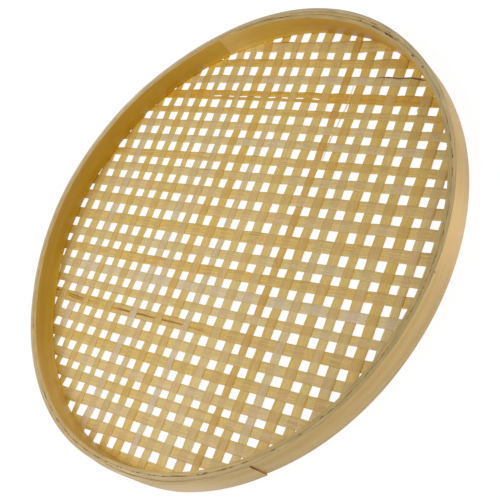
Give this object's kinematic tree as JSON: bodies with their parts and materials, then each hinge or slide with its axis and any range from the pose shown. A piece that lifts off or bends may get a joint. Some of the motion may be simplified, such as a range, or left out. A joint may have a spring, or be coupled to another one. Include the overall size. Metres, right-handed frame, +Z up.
{
  "type": "woven bamboo basket",
  "caption": "Round shallow bamboo basket tray: an open over-one-under-one panel of flat strips, held between two bent bamboo hoops, for draining, drying and serving.",
  "frame": {"origin": "middle of the underside, on the hoops' centre line, in the plane that the basket stands on", "axes": "+Z up, out of the tray's open side; +X along the wefts; +Y along the warps"},
  "size_m": [0.3998, 0.4033, 0.0215],
  "materials": {
    "outer_hoop": "satin split bamboo",
    "inner_hoop": "satin split bamboo",
    "plain_warp_strips": "satin split bamboo",
    "plain_weft_strips": "satin split bamboo",
    "golden_strips": "satin split bamboo",
    "pale_strips": "matte split bamboo",
    "greyish_strips": "matte split bamboo",
    "brown_strips": "satin split bamboo"
  },
  "bodies": {
    "root": {"outer_hoop": "outer_hoop", "inner_hoop": "inner_hoop", "warp_01": "plain_warp_strips", "warp_02": "plain_warp_strips", "warp_03": "greyish_strips", "warp_04": "plain_warp_strips", "warp_05": "plain_warp_strips", "warp_06": "plain_warp_strips", "warp_07": "plain_warp_strips", "warp_08": "greyish_strips", "warp_09": "pale_strips", "warp_10": "golden_strips", "warp_11": "golden_strips", "warp_12": "greyish_strips", "warp_13": "plain_warp_strips", "warp_14": "plain_warp_strips", "warp_15": "plain_warp_strips", "warp_16": "brown_strips", "warp_17": "golden_strips", "warp_18": "pale_strips", "warp_19": "golden_strips", "warp_20": "plain_warp_strips", "warp_21": "plain_warp_strips", "warp_22": "golden_strips", "warp_23": "plain_warp_strips", "warp_24": "plain_warp_strips", "weft_01": "plain_weft_strips", "weft_02": "plain_weft_strips", "weft_03": "plain_weft_strips", "weft_04": "plain_weft_strips", "weft_05": "plain_weft_strips", "weft_06": "golden_strips", "weft_07": "plain_weft_strips", "weft_08": "golden_strips", "weft_09": "plain_weft_strips", "weft_10": "greyish_strips", "weft_11": "golden_strips", "weft_12": "pale_strips", "weft_13": "golden_strips", "weft_14": "plain_weft_strips", "weft_15": "plain_weft_strips", "weft_16": "pale_strips", "weft_17": "plain_weft_strips", "weft_18": "greyish_strips", "weft_19": "pale_strips", "weft_20": "plain_weft_strips", "weft_21": "brown_strips", "weft_22": "greyish_strips", "weft_23": "plain_weft_strips", "weft_24": "plain_weft_strips"}
  },
  "joints": []
}
